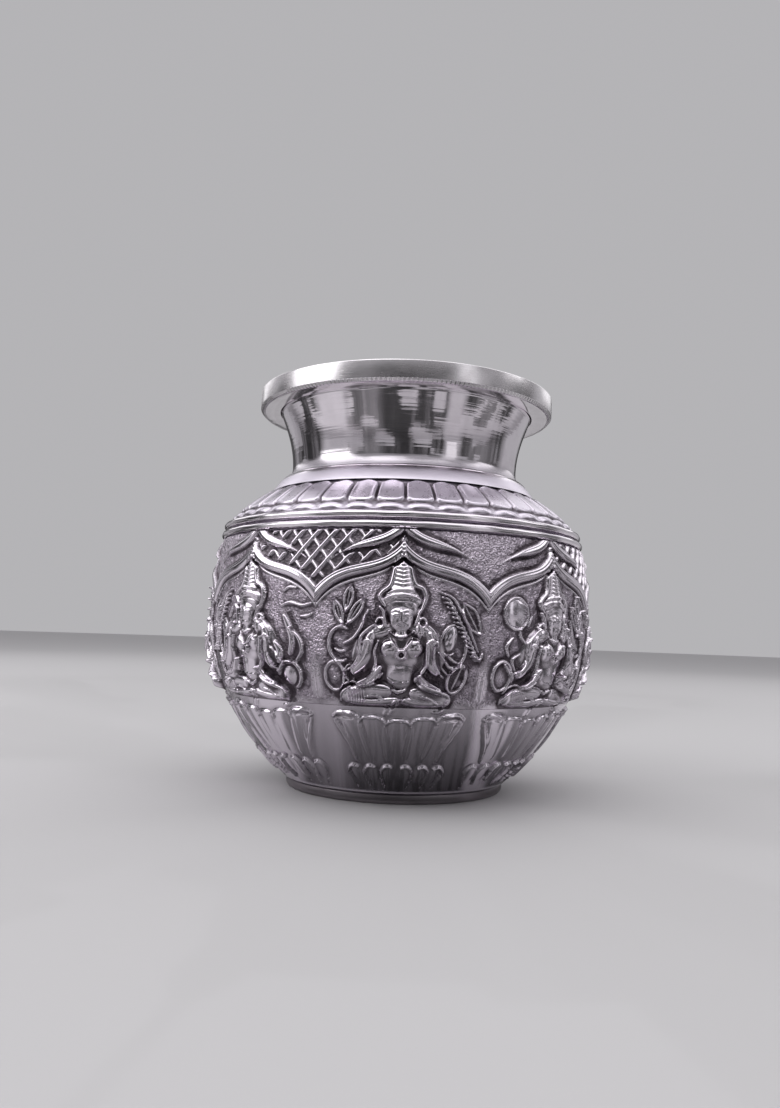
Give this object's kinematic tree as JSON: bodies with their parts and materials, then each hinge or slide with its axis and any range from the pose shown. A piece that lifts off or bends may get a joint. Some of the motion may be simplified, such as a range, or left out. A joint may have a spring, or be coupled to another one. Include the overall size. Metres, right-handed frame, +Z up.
{
  "type": "kalash pot",
  "caption": "Round silver ritual water pot: banded flared mouth, waisted neck, fluted shoulder, belt of arched niches with seated figures, lotus-petal bowl and flat foot.",
  "frame": {"origin": "centre of the foot's flat underside, on the pot's axis", "axes": "+Z up along the pot's axis towards the mouth, and -Y through the middle of niche_panel_1"},
  "size_m": [0.0984, 0.0984, 0.0994],
  "materials": {
    "polished_silver": "bright polished silver with light tarnish in the grooves",
    "matted_silver": "silver with a punched, finely grained ground and polished high points",
    "turned_silver": "mirror polished silver with very fine turning lines",
    "brushed_silver": "satin polished silver with fine lines along the band"
  },
  "bodies": {
    "root": {"base_plate": "polished_silver", "petal_bowl": "polished_silver", "niche_panel_1": "matted_silver", "niche_panel_2": "matted_silver", "niche_panel_3": "matted_silver", "niche_panel_4": "matted_silver", "niche_panel_5": "matted_silver", "niche_panel_6": "matted_silver", "niche_panel_7": "matted_silver", "niche_panel_8": "matted_silver", "ridge_wire_lower": "polished_silver", "ridge_wire_upper": "polished_silver", "shoulder": "polished_silver", "neck_collar": "polished_silver", "neck": "turned_silver", "rim_band": "brushed_silver"}
  },
  "joints": []
}
